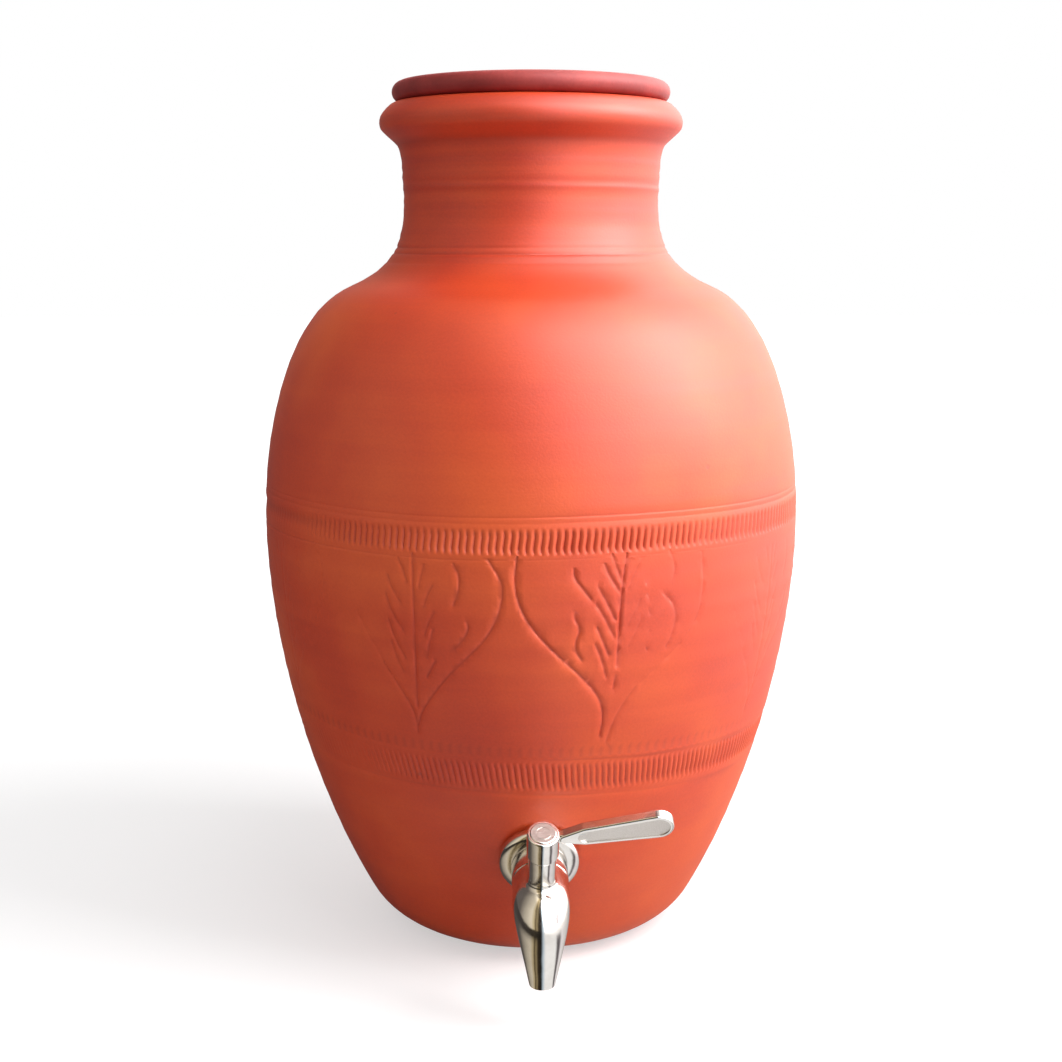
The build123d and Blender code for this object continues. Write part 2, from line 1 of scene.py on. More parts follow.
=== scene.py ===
import math
import bmesh
import bpy
import numpy as np
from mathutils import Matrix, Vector


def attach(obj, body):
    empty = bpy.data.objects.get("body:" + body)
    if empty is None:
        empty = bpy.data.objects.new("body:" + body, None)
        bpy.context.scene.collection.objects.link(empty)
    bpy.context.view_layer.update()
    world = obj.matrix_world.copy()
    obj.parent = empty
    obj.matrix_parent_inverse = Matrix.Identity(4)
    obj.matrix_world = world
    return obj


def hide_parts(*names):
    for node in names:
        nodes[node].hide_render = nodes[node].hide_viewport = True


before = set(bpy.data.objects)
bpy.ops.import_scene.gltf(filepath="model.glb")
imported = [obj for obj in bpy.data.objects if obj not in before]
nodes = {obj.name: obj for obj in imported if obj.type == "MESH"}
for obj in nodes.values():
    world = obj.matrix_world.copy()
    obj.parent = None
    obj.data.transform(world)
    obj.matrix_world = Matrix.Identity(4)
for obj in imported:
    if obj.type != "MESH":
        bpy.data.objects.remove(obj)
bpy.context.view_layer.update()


# ---- Camera ---------------------------------------------------------------------------
# A short tele view from well above the pot's middle height and 2 degrees to the left of its
# front, tipped down so that the whole pot stands in the square frame.
VIEW_DISTANCE = 0.735
VIEW_HEIGHT = 0.3152
VIEW_TURN = math.radians(-2.0)
VIEW_TIP = math.radians(10.3)
FOCUS_PIXELS, FRAME_PIXELS, SENSOR_MM = 1600, 1062, 36

lens = bpy.data.cameras.new("view")
lens.sensor_width = SENSOR_MM
lens.lens = SENSOR_MM * FOCUS_PIXELS / FRAME_PIXELS
camera = bpy.data.objects.new("view", lens)
bpy.context.scene.collection.objects.link(camera)
camera.location = (math.sin(VIEW_TURN) * VIEW_DISTANCE, -math.cos(VIEW_TURN) * VIEW_DISTANCE, VIEW_HEIGHT)
camera.rotation_euler = (math.pi / 2 - VIEW_TIP, 0, VIEW_TURN)
bpy.context.scene.camera = camera


# ---- Pot, terracotta --------------------------------------------------------------------
# Thrown on the wheel in red clay, burnished while leather hard and fired without glaze.
# Two bands are notched round it with a stick, and leaves are drawn between them by hand.
# Its sizes here are in millimetres.
MM = 0.001
WALL = 8.0
COARSE, DRAWN = 192, 336       # columns of faces round the plain wall, and round the drawn leaves
NOTCHED = 5                    # columns in each notch
UPPER_NOTCHES, LOWER_NOTCHES = 256, 264

# The outline from foot to lip in (radius, height), as curves that run some way on in the
# direction of each end.
FOOT_RADIUS, HEEL_ROUND, HEEL_ANGLE, HEEL_STEPS = 48.6, 32.9, 61.5, 60
BELLY, TURN, NECK = (121.8, 191.5), (82.8, 294.2), (57.0, 333.0)
TURN_SLOPE = 24.0
WALL_RUNS, SHOULDER_RUNS, THROAT_RUNS = (52.5, 60.0), (37.0, 30.6), (19.8, 22.7)
RIM = [(57.9, 350.6), (58.4, 353.0), (58.9, 355.0), (59.6, 356.5), (60.8, 357.8), (62.6, 359.4),
       (64.4, 361.0), (66.0, 362.5), (66.9, 363.6), (67.3, 364.7), (67.5, 366.0), (67.4, 367.5),
       (67.0, 368.9), (66.1, 370.4), (64.4, 372.4), (62.6, 374.0), (61.2, 374.7), (58.6, 375.0)]
LIP_HEIGHT, MOUTH_RADIUS, LIP_ROUND = 375.0, 49.5, 2.0


def slope(length, angle):
    """A step of that length, angle degrees above level, as (radius, height)."""
    return np.array([length * math.cos(math.radians(angle)), length * math.sin(math.radians(angle))])


def held_curve(a, b, c, d, steps=160):
    """A curve from a to d that leaves toward b and arrives from c."""
    t = np.linspace(0, 1, steps)[:, None]
    return (1 - t) ** 3 * a + 3 * (1 - t) ** 2 * t * b + 3 * (1 - t) * t * t * c + t ** 3 * d


def pot_outline():
    """The outside of the wall from the foot to the neck, finely stepped."""
    foot = np.array([FOOT_RADIUS, 0.0])
    heel = np.array([foot + [0, HEEL_ROUND] + slope(HEEL_ROUND, a)
                     for a in np.linspace(-90, HEEL_ANGLE - 90, HEEL_STEPS)])
    belly, turn, neck = (np.array(p, float) for p in (BELLY, TURN, NECK))
    inward = slope(1, 180 - TURN_SLOPE)
    wall = held_curve(heel[-1], heel[-1] + slope(WALL_RUNS[0], HEEL_ANGLE),
                      belly - [0, WALL_RUNS[1]], belly)
    shoulder = held_curve(belly, belly + [0, SHOULDER_RUNS[0]], turn - inward * SHOULDER_RUNS[1], turn)
    throat = held_curve(turn, turn + inward * THROAT_RUNS[0], neck - [0, THROAT_RUNS[1]], neck)
    return np.vstack([heel, wall[1:], shoulder[1:], throat[1:], np.array(RIM[:2])])


OUTLINE = pot_outline()


def outer_radius(height):
    """The outline's radius at a height, before anything is cut into it."""
    return np.interp(height, OUTLINE[:, 1], OUTLINE[:, 0])


def zone_points(heights):
    """The outline's points at these heights."""
    return [(float(outer_radius(z)), z) for z in heights]


def ring_loop(bm, verts):
    """The edges among a ring of vertices."""
    return [e for v in verts for e in v.link_edges if e.other_vert(v) in verts]


def spun(bm, points, columns):
    """Rolls a grid up into a wall that follows an open outline; gives back its first and last rings."""
    made = bmesh.ops.create_grid(bm, x_segments=columns, y_segments=len(points) - 1, size=0.5)["verts"]
    first, last = set(), set()
    for vert in made:
        column = round((vert.co.x + 0.5) * columns)
        row = round((vert.co.y + 0.5) * (len(points) - 1))
        angle = 2 * math.pi * (column % columns) / columns
        radius, height = points[row]
        vert.co = Vector((radius * math.cos(angle), radius * math.sin(angle), height)) * MM
        if row == 0:
            first.add(vert)
        if row == len(points) - 1:
            last.add(vert)
    bmesh.ops.remove_doubles(bm, verts=made, dist=1e-7)
    return {v for v in first if v.is_valid}, {v for v in last if v.is_valid}


def join_rings(bm, lower, upper):
    """Fills the gap between two rings that may differ in their count of vertices."""
    bmesh.ops.bridge_loops(bm, edges=list(set(ring_loop(bm, lower) + ring_loop(bm, upper))))


LOW_BAND, HIGH_BAND = 98.8, 198.8      # middle heights of the notched bands
LOW_REACH, HIGH_REACH = 40, 30         # how far above and below the wall shares their wander
LOW_TILT, HIGH_WANDER = 2.6, 0.35      # the low band hangs lower on the right, the high one ripples


def band_wander(turn, height):
    """How far the bands ride up or down round the pot, as the stick wandered."""
    low = -LOW_TILT * np.sin(turn) + 0.3 * np.sin(3 * turn + 1)
    high = HIGH_WANDER * np.sin(2 * turn + 0.6) + 0.2 * np.sin(5 * turn)
    near_low = np.clip(1 - np.abs(height - LOW_BAND) / LOW_REACH, 0, 1)
    near_high = np.clip(1 - np.abs(height - HIGH_BAND) / HIGH_REACH, 0, 1)
    return low * near_low + high * near_high


# Strokes of the drawn leaves: how hard each is pressed, then its points as degrees from the
# stem and height. Two leaves are drawn in turn.
LEAF_ONE = [
    (0.3, [(-13.0, 166), (-11.8, 161), (-9.3, 153), (-7.4, 146), (-4.6, 137)]),
    (0.8, [(-7.4, 146), (-4.6, 137), (-1.2, 125), (-1.2, 116)]),
    (1.0, [(15.0, 192), (17.4, 184), (17.8, 178), (16.8, 168.6), (14.4, 159.3), (10.8, 151.4), (6.6, 143),
           (3.4, 134.7), (0.3, 126), (-1.0, 119)]),
    (1.1, [(0.2, 193), (0.2, 174), (0, 153), (-0.3, 140), (-0.6, 128)]),
    (1.0, [(8.4, 190), (9.5, 185.6), (9.5, 179.5), (8.2, 172.8)]),
    (1.0, [(10.7, 167), (11.2, 163.2), (9.6, 157.6), (7.9, 154.4)]),
    (0.9, [(-2.8, 191), (-1.7, 186), (-1.0, 181)]),
    (0.9, [(-5.4, 184.6), (-4.4, 178), (-2.4, 171.6)]),
    (0.9, [(-5.8, 175), (-4.6, 167.6), (-2.2, 160)]),
    (0.9, [(-5.5, 164.6), (-4.4, 157), (-2.3, 149)]),
    (0.8, [(-5.2, 156), (-4.4, 149.6), (-3.0, 143)]),
    (0.8, [(2.6, 189), (1.9, 184), (1.4, 179)]),
    (0.9, [(4.2, 180.5), (3.0, 176), (2.3, 171.4)]),
    (0.9, [(4.4, 169.5), (3.0, 164.5), (2.2, 159.4)]),
    (0.9, [(4.0, 162), (3.1, 156), (2.5, 150)]),
    (1.1, [(4.3, 149.4), (3.4, 146), (2.1, 141.5)]),
]
LEAF_TWO = [
    (1.15, [(-19.6, 193), (-20.1, 184), (-19.6, 176), (-18, 168), (-16, 162), (-12.8, 154.5), (-8.3, 145.7),
            (-5, 138.5), (-2.7, 131.6), (-2.3, 124), (-2.7, 117)]),
    (0.55, [(17.6, 191), (18.3, 180), (18.1, 171), (17.0, 163), (15.2, 157.6)]),
    (0.3, [(13.6, 154), (8.6, 145), (4.3, 137.7)]),
    (0.65, [(4.3, 137.7), (1.6, 130), (-0.3, 122), (-1.2, 114)]),
    (1.15, [(1.1, 193), (0.2, 179), (-0.1, 162), (-0.1, 146.8)]),
    (0.9, [(-0.2, 143), (-0.6, 137)]),
    (0.9, [(-1.8, 193), (-0.9, 188), (0, 183)]),
    (1.0, [(-9, 188), (-8.9, 184), (-6.9, 179), (-5.7, 175.6)]),
    (1.0, [(-8.6, 171), (-8.9, 168), (-7.5, 163.6), (-8.6, 158.4), (-8.4, 154), (-7.2, 150.6)]),
    (0.6, [(10.1, 193), (11.2, 188), (11.3, 184), (10.7, 179.6)]),
    (0.7, [(9, 175.8), (11.2, 172), (12.3, 165), (11.4, 158), (10.2, 152.8)]),
    (1.0, [(-3.2, 189.5), (-2.2, 184.5), (-0.3, 178.5)]),
    (1.0, [(-4.4, 180.6), (-2.8, 175), (-1.0, 167.2)]),
    (1.0, [(-4.7, 173.4), (-3.0, 168), (-1.1, 160)]),
    (1.0, [(-4.5, 164.4), (-3.4, 159), (-1.9, 152)]),
    (1.0, [(-4.7, 157), (-3.4, 151), (-2.2, 142.6)]),
    (0.5, [(4.2, 191), (2.8, 185), (1.4, 178.8)]),
    (0.5, [(4.2, 174.6), (3.0, 169), (1.7, 164)]),
    (0.5, [(4.4, 166), (3.2, 160), (1.9, 155)]),
    (0.9, [(5.2, 181.4), (5.3, 180.8)]),
    (0.8, [(5.6, 176.4), (5.6, 175.8)]),
    (0.8, [(6.1, 169.2), (6.1, 168.6)]),
    (0.8, [(6.2, 161.6), (6.2, 161)]),
    (0.9, [(6.0, 153.6), (6.0, 153)]),
]
LEAF_PRESS = [1.0, 1.0, 0.17, 0.8, 0.9, 0.7, 0.9, 0.8, 0.14]   # leaf by leaf, from the tap's left
LEAF_COUNT = 9
FIRST_LEAF, LEAF_HALF = -25.0, 24.0                    # degrees: its stem, and half of any leaf
FRONT_SCATTER, OTHER_SCATTER = 0.05, 0.5               # how far a stroke strays from its place
FAR = 9.0                                              # a distance past any stroke's reach
GROOVE_DEPTH, GROOVE_HALF = 0.5, 0.8                   # of a line, pressed with a blunt stick
RIDGE_RISE, RIDGE_AWAY, RIDGE_HALF = 0.15, 0.45, 0.4   # of the clay pushed up beside it


def rounded_path(points):
    """A stroke with its corners rounded, as the hand runs through them."""
    path = np.array(points, float)
    for _ in range(2):
        if len(path) < 3:
            break
        near = path[:-1] * 0.75 + path[1:] * 0.25
        far = path[:-1] * 0.25 + path[1:] * 0.75
        path = np.vstack([path[:1], np.stack([near, far], 1).reshape(-1, 2), path[-1:]])
    return path


def stroke_distance(turn, height, radius):
    """Distance in mm from each point of the wall to the nearest stroke, and how hard that is pressed."""
    draw = np.random.default_rng(7)
    best = np.full(turn.shape, FAR)
    strength = np.zeros(turn.shape)
    for leaf in range(LEAF_COUNT):
        stem = math.radians(FIRST_LEAF + leaf * 360 / LEAF_COUNT)
        away = (turn - stem + math.pi) % (2 * math.pi) - math.pi
        close = np.flatnonzero(np.abs(away) < math.radians(LEAF_HALF))
        across, up = np.degrees(away[close]), height[close]
        scale = np.radians(radius[close])
        for press, stroke in (LEAF_ONE if leaf % 2 == 0 else LEAF_TWO):
            shift = draw.normal(0, FRONT_SCATTER if leaf < 2 else OTHER_SCATTER, 2)
            press *= LEAF_PRESS[leaf] * draw.uniform(0.9, 1.1)
            path = rounded_path(stroke) + shift * [0.6, 1]
            for (ax, ay), (bx, by) in zip(path, path[1:]):
                px, py = (across - ax) * scale, up - ay
                qx, qy = (bx - ax) * scale, by - ay
                along = np.clip((px * qx + py * qy) / (qx * qx + qy * qy + 1e-9), 0, 1)
                gap = np.hypot(px - along * qx, py - along * qy)
                nearer = gap < best[close]
                strength[close[nearer]] = press
                best[close] = np.minimum(best[close], gap)
    return best, strength


# Lines cut while the pot turned, as height, depth and half width.
TURNED_LINES = [(90.2, 0.35, 0.8), (106.6, 0.45, 0.7), (189.6, 0.16, 0.7), (191.8, 0.26, 0.6),
                (206.2, 0.20, 0.6), (208.6, 0.16, 0.6), (305.5, 0.22, 0.9), (309.6, 0.45, 0.8),
                (312.2, 0.5, 0.8), (338.6, 0.24, 1.3)]


def line_depth(turn, height, radius):
    """Depth of the turned lines and drawn leaves, and the rise of the clay beside the strokes."""
    level = height - band_wander(turn, height)
    depth = np.zeros(turn.shape)
    for line, deep, half in TURNED_LINES:
        fade = 0.65 + 0.35 * np.sin(turn + line) + 0.1 * np.sin(7 * turn + line)
        depth = np.maximum(depth, deep * np.clip(fade, 0, 1) * np.exp(-((level - line) / half) ** 2 * 2))
    gap, press = stroke_distance(turn, height, radius)
    depth = np.maximum(depth, GROOVE_DEPTH * press * np.clip(1 - (gap / GROOVE_HALF) ** 2, 0, 1))
    raised = RIDGE_RISE * press * np.exp(-((gap - GROOVE_HALF - RIDGE_AWAY) / RIDGE_HALF) ** 2)
    return depth, raised


# Each row of notches: its half height, its depth, the degrees left of the tap where wear sets
# in, and the depth of the groove that is left where the notches are worn away.
LOW_NOTCH = (6.2, 0.75, 30, 0.1)
HIGH_NOTCH = (5.2, 0.9, 40, 0.5)
NOTCH_SHAPE = [1.0, 0.42, 0.0, 0.0, 0.36, 1.0]         # its depth, from one notch's middle to the next
NOTCH_END = 1.2                                        # length over which its ends run out
WEAR = 0.9                                             # share of its depth that is worn away
WEAR_SETS_IN, WEAR_LETS_GO, WEAR_END = 14, 20, 150     # degrees
GROOVE_LEVEL, GROOVE_SPREAD = 1.5, 2.2                 # of the worn groove, above the row's middle
SMALL_MARK_HEIGHT, SMALL_MARK_HALF, SMALL_MARK_DEPTH = 110.2, 2.2, 0.42


def notch_depth(turn, level, count, half, deep, worn_from, rubbed):
    """Depth of a row of upright notches, at a level from its middle, worn to a groove on the left."""
    number = turn * count / (2 * math.pi)
    whole = np.floor(number + 1e-4)
    shape = np.interp(number - whole, np.arange(NOTCHED + 1) / NOTCHED, NOTCH_SHAPE)
    ends = np.clip((half - np.abs(level)) / NOTCH_END, 0, 1)
    uneven = 0.86 + 0.14 * np.sin(whole * 12.9898) * np.sin(number * 0.37)
    setting_in = np.clip((np.degrees(-turn) - worn_from) / WEAR_SETS_IN, 0, 1)
    letting_go = np.clip((WEAR_END + np.degrees(turn)) / WEAR_LETS_GO, 0, 1)
    worn = 1 - WEAR * setting_in * letting_go
    groove = rubbed * (1 - worn) * np.exp(-((level - GROOVE_LEVEL) / GROOVE_SPREAD) ** 2)
    return deep * shape * ends * uneven * worn * (0.85 - 0.15 * level / half) + groove


def pressed_depth(turn, height, radius):
    """Depth of all that is cut or pressed into the wall, and the rise beside the strokes."""
    depth, raised = line_depth(turn, height, radius)
    depth = np.maximum(depth, notch_depth(turn, height - LOW_BAND, LOWER_NOTCHES, *LOW_NOTCH))
    depth = np.maximum(depth, notch_depth(turn, height - HIGH_BAND, UPPER_NOTCHES, *HIGH_NOTCH))
    every_other = np.floor(turn * DRAWN / (2 * math.pi) + 0.5) % 2 == 0
    small_marks = SMALL_MARK_DEPTH * every_other * (np.abs(height - SMALL_MARK_HEIGHT) < SMALL_MARK_HALF)
    depth = np.maximum(depth, small_marks * np.clip(1.5 + np.cos(turn + 1.6), 0, 1))
    return depth, raised


def notch_sway(height):
    """How far sideways the notches bend, and in the low band lean, along their length."""
    level_low, level_high = height - LOW_BAND, height - HIGH_BAND
    in_low, in_high = np.abs(level_low) < LOW_NOTCH[0], np.abs(level_high) < 5.6
    bend_low = 0.15 * np.sin(np.clip(level_low / 6, -1, 1) * math.pi) * in_low
    bend_high = 0.3 * np.sin(np.clip(level_high / HIGH_NOTCH[0], -1, 1) * math.pi) * in_high
    return bend_high + bend_low - 0.15 * level_low * in_low


NECK_WAVES_FROM, NECK_WAVES_TO = 306, 352
PLAIN_FOOT = 40                                        # the height below which the wall is smooth


def finger_waves(turn, height):
    """How far the fingers' rings lie in, some 11 and 5 mm apart on the wall and 5 mm in the neck."""
    on_wall = 0.10 * np.sin(height * 0.55 + 0.6 * np.sin(turn)) + 0.07 * np.sin(height * 1.31 + 1.7)
    in_neck = np.clip((height - NECK_WAVES_FROM) / 12, 0, 1) * np.clip((NECK_WAVES_TO - height) / 4, 0, 1)
    on_neck = 0.11 * np.sin(height * 1.3 + 0.9 * np.sin(height * 0.31) + 0.5 * np.sin(turn + 1)) * in_neck
    return on_wall * 0.7 * (height > PLAIN_FOOT) + on_neck


def rows(low, high, step):
    """Heights from low to high, evenly spaced, with rows added across each turned line."""
    heights = list(np.linspace(low, high, max(2, round((high - low) / step) + 1)))
    for line, _, half in TURNED_LINES:
        if low < line < high:
            heights = [z for z in heights if abs(z - line) > 1.3 * half]
            heights += [line - half, line - half / 2, line, line + half / 2, line + half]
    return sorted(heights)


INNER_FLOOR = [(69.5, 20.0), (64.5, 14.6), (57.0, 11.4), (46.0, 10.0), (24.0, 10.0), (0, 10)]
INNER_WALL_FROM = 24                                   # height of the outline where the wall ends
INNER_STEP = 30                                        # steps of the outline in each row of faces


def inner_points():
    """The inside of the wall from the neck down to the middle of the floor."""
    path = OUTLINE[(OUTLINE[:, 1] > INNER_WALL_FROM) & (OUTLINE[:, 1] < NECK[1])]
    along = np.gradient(path, axis=0)
    along /= np.linalg.norm(along, axis=1)[:, None]
    inside = (path + np.stack([-along[:, 1], along[:, 0]], 1) * WALL)[::-INNER_STEP]
    return [tuple(p) for p in inside] + INNER_FLOOR


# Rows of faces from the foot up: foot and heel, low band, leaves, high band, and then over
# the shoulder, neck and lip and down the inside.
LOW_ROWS = [89.4, 90.2, 91.0, 92.6, 94.0, 95.4, 98.8, 102.0, 103.4, 104.8, 105.9, 106.6, 107.3]
HIGH_ROWS = [193.4, 194.0, 195.2, 196.6, 198.8, 201.0, 202.4, 203.4, 204.4]
pot_mesh = bmesh.new()
recess_dirt_and_shade_layer = pot_mesh.verts.layers.float.new("recess_dirt_and_shade")
heel_rows = OUTLINE[:HEEL_STEPS:5]
below = [(0, 0), (24, 0), (42, 0)] + [tuple(p) for p in heel_rows]
below += zone_points(np.linspace(heel_rows[-1][1] + 3.2, 88.6, 17))
_, foot_top = spun(pot_mesh, below, COARSE)
low_first, low_last = spun(pot_mesh, zone_points(LOW_ROWS), LOWER_NOTCHES * NOTCHED)
drawn_first, drawn_last = spun(pot_mesh, zone_points(rows(108.2, 192.6, 2.9)), DRAWN)
high_first, high_last = spun(pot_mesh, zone_points(HIGH_ROWS), UPPER_NOTCHES * NOTCHED)
lip_centre = np.array([MOUTH_RADIUS + LIP_ROUND, LIP_HEIGHT - LIP_ROUND])
above = zone_points(rows(205.2, 284.0, 4.4)) + zone_points(rows(287.0, 349.0, 2.1)) + RIM
above += [(54.5, LIP_HEIGHT)] + [tuple(lip_centre + slope(LIP_ROUND, a)) for a in (90, 120, 150, 180)]
above += [(MOUTH_RADIUS, 366.0), (MOUTH_RADIUS, 354.0), (MOUTH_RADIUS, 342.0)] + inner_points()
neck_first, _ = spun(pot_mesh, above, COARSE)
join_rings(pot_mesh, foot_top, low_first)
join_rings(pot_mesh, low_last, drawn_first)
join_rings(pot_mesh, drawn_last, high_first)
join_rings(pot_mesh, high_last, neck_first)
bmesh.ops.remove_doubles(pot_mesh, verts=pot_mesh.verts, dist=1e-6)


def wall_points(bm):
    """Every vertex in millimetres, with its turn from the front and its radius."""
    bm.verts.ensure_lookup_table()
    points = np.array([v.co for v in bm.verts]) / MM
    return points, np.arctan2(points[:, 0], -points[:, 1]), np.hypot(points[:, 0], points[:, 1])


def split_near(bm, chosen):
    """Cuts every edge between chosen vertices in two."""
    patch = {v for v, inside in zip(bm.verts, chosen) if inside}
    edges = [e for e in bm.edges if e.verts[0] in patch and e.verts[1] in patch]
    bmesh.ops.subdivide_edges(bm, edges=edges, cuts=1, use_grid_fill=True)


# The wall is cut finer along the drawn lines, twice.
DRAWN_FROM, DRAWN_TO, ON_WALL = 110, 195, 0.3
for reach in (2.4, 1.4):
    points, turn, radius = wall_points(pot_mesh)
    height = points[:, 2]
    on_outside = np.abs(radius - outer_radius(height)) < ON_WALL
    gap, _ = stroke_distance(turn, height, radius)
    split_near(pot_mesh, on_outside & (height > DRAWN_FROM) & (height < DRAWN_TO) & (gap < reach))

# So is the clay round the tap's hole, where both faces of the wall are pared flat.
TAP_HEIGHT, FLAT_RADIUS, FLAT_CUT, HOLE_RADIUS = 59.0, 18.4, 1.2, 8.5
FINE_FROM, FINE_TO = -26, 6            # along the tap's axis, from the wall's face outward
HOLE_FROM, HOLE_TO = -12, 3
TAP_SPOT = np.array([0.0, -float(outer_radius(TAP_HEIGHT)), TAP_HEIGHT])
overhang = math.atan(outer_radius(TAP_HEIGHT + 0.5) - outer_radius(TAP_HEIGHT - 0.5))
TAP_OUT = np.array([0.0, -math.cos(overhang), -math.sin(overhang)])


def from_tap(points):
    """Distance from the tap's axis, and height out of the wall along it, in mm."""
    away = points - TAP_SPOT
    out = away @ TAP_OUT
    return np.linalg.norm(away - out[:, None] * TAP_OUT, axis=1), out


for reach in (27, 23):
    points, turn, radius = wall_points(pot_mesh)
    side, out = from_tap(points)
    split_near(pot_mesh, (side < reach) & (out > FINE_FROM) & (out < FINE_TO))

# The relief moves each point of the outer face along the outline's normal. No point goes past
# the widest part of the belly.
SLOPE_STEP, WIDEST = 0.4, BELLY[0] - 0.06
RELIEF_FROM, RELIEF_TO = 0.1, 350
points, turn, radius = wall_points(pot_mesh)
height = points[:, 2].copy()
on_outside = np.abs(radius - outer_radius(height)) < ON_WALL
outer = on_outside & (height > RELIEF_FROM) & (height < RELIEF_TO)
depth, raised = pressed_depth(turn, height, radius)
inward = depth - raised + finger_waves(turn, height)
widening = outer_radius(height + SLOPE_STEP) - outer_radius(height - SLOPE_STEP)
lean = np.arctan(widening / (2 * SLOPE_STEP))
height_now = height + band_wander(turn, height)
turn_now = turn + notch_sway(height) / np.maximum(radius, 1)
radius_now = np.minimum(outer_radius(height_now) - inward * np.cos(lean), WIDEST)
height_now = height_now + inward * np.sin(lean)
moved = np.stack([radius_now * np.sin(turn_now), -radius_now * np.cos(turn_now), height_now], 1)
points[outer] = moved[outer]

# The two flats for the tap's washers: all that stands proud of them is pared away.
side, out = from_tap(points)
at_front = points[:, 1] < -50
near_tap = at_front & (side < FLAT_RADIUS)
pared = near_tap & outer & (out > -FLAT_CUT)
hollowed = near_tap & ~outer & (out > -20) & (out < -WALL)
points[pared] -= np.outer(out[pared] + FLAT_CUT, TAP_OUT)
points[hollowed] -= np.outer(out[hollowed] + WALL, TAP_OUT)

# The cuts are toned darker, partly dirt and partly painted shade, and the hollow under the rim is toned
# darker with painted shade.
UNDER_RIM_HEIGHT, UNDER_RIM_RADIUS = 356.8, 60.5
near_rim = np.abs(radius - UNDER_RIM_RADIUS) < 2.5
# Painted shade in the hollow under the rim.
under_rim_painted_shade = 0.5 * np.exp(-((height - UNDER_RIM_HEIGHT) / 2.2) ** 2) * near_rim
for vert, place, cut in zip(pot_mesh.verts, points, depth * outer + under_rim_painted_shade):
    vert.co = Vector(place * MM)
    vert[recess_dirt_and_shade_layer] = cut

# The hole: the faces that reach into it go, its two edges are drawn out to circles, and its
# wall joins them.
side, out = from_tap(points)
in_hole = [v for v, s, o in zip(pot_mesh.verts, side, out) if s < HOLE_RADIUS and HOLE_FROM < o < HOLE_TO]
bmesh.ops.delete(pot_mesh, geom=list({f for v in in_hole for f in v.link_faces}), context="FACES")
edge = [e for e in pot_mesh.edges if e.is_boundary]
for vert in {v for e in edge for v in e.verts}:
    away = np.array(vert.co) / MM - TAP_SPOT
    along = away @ TAP_OUT
    sideways = away - along * TAP_OUT
    on_circle = TAP_SPOT + along * TAP_OUT + sideways / np.linalg.norm(sideways) * HOLE_RADIUS
    vert.co = Vector(on_circle * MM)
bmesh.ops.bridge_loops(pot_mesh, edges=edge)
bmesh.ops.recalc_face_normals(pot_mesh, faces=pot_mesh.faces)
SHARP = math.radians(50)
for joint in pot_mesh.edges:
    joint.smooth = len(joint.link_faces) != 2 or joint.calc_face_angle(0) < SHARP


def new_piece(name, bm, body, slot, *replaced):
    """Turns a finished bmesh into a smooth piece that rides on a body, and gives it back."""
    for face in bm.faces:
        face.smooth = True
    data = bpy.data.meshes.new(name)
    bm.to_mesh(data)
    bm.free()
    piece = bpy.data.objects.new(name, data)
    bpy.context.scene.collection.objects.link(piece)
    if replaced:
        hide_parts(*replaced)
    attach(piece, body)
    return piece


pot = new_piece("pot_wall", pot_mesh, "pot_and_tap", "terracotta", "pot_base", "pot_belly", "pot_neck")


def linear(hex_colour):
    """An sRGB hex colour as Blender's linear numbers."""
    parts = [int(hex_colour[k:k + 2], 16) / 255 for k in (1, 3, 5)]
    return [c / 12.92 if c <= 0.04045 else ((c + 0.055) / 1.055) ** 2.4 for c in parts] + [1.0]


def add(tree, kind, inputs=None, stops=(), **settings):
    """Adds a node. Its inputs, by name or number, are values, nodes or sockets, and stops are a ramp's.

    A Map Range's inputs 1 and 2 are the range that goes in, and 3 and 4 the one that comes out.
    A Mix's inputs 0, 6 and 7 are its share and its two colours.
    """
    made = tree.nodes.new("ShaderNode" + kind)
    for name, value in settings.items():
        setattr(made, name, value)
    for name, value in (inputs or {}).items():
        if isinstance(value, bpy.types.Node):
            value = value.outputs[0]
        if isinstance(value, bpy.types.NodeSocket):
            tree.links.new(value, made.inputs[name])
        else:
            made.inputs[name].default_value = value
    for _ in stops[2:]:
        made.color_ramp.elements.new(0.5)
    for number, (place, hex_colour) in enumerate(stops):
        made.color_ramp.elements[number].position = place
        made.color_ramp.elements[number].color = linear(hex_colour)
    return made


def new_material(name):
    """An empty material, with its node tree."""
    made = bpy.data.materials.new(name)
    made.use_nodes = True
    made.node_tree.nodes.clear()
    return made, made.node_tree


# Red earthenware, burnished and fired without glaze: matt clay with a faint sheen. It is
# mottled over some 100 mm by the fire, ringed faintly every 5 mm from the turning, more so in
# the neck, has 1 mm grain, and a few pits 2 mm wide where lime or grit has popped out. The neck
# and rim are darkened with painted shade.
NECK_FROM, NECK_TO = 0.29, 0.33
terracotta, tree = new_material("terracotta_burnished")
clay_place = add(tree, "TexCoord").outputs["Object"]
patches = add(tree, "TexNoise", {"Vector": clay_place, "Scale": 10.0, "Detail": 3.0, "Roughness": 0.55})
ring_place = add(tree, "Mapping", {"Vector": clay_place, "Scale": (3.0, 3.0, 200.0)})
rings = add(tree, "TexNoise", {"Vector": ring_place, "Scale": 1.0, "Detail": 4.0, "Roughness": 0.6})
grain = add(tree, "TexNoise", {"Vector": clay_place, "Scale": 1000.0, "Detail": 3.0})
up = add(tree, "SeparateXYZ", {0: clay_place})
streaked = add(tree, "MapRange", {"Value": up.outputs["Z"], 1: NECK_FROM, 2: 0.32, 3: 0.14, 4: 0.45})
uneven_ring = add(tree, "Math", {0: rings, 1: 0.5}, operation="SUBTRACT")
# Painted shade: the neck and rim are toned darker from 0.29 m up.
neck_painted_shade = add(tree, "MapRange", {"Value": up.outputs["Z"], 1: NECK_FROM, 2: NECK_TO, 3: 0.0, 4: -0.13})
tone = add(tree, "Math", {0: patches, 1: neck_painted_shade}, operation="ADD")
tone = add(tree, "Math", {0: uneven_ring, 1: streaked, 2: tone}, operation="MULTIPLY_ADD")
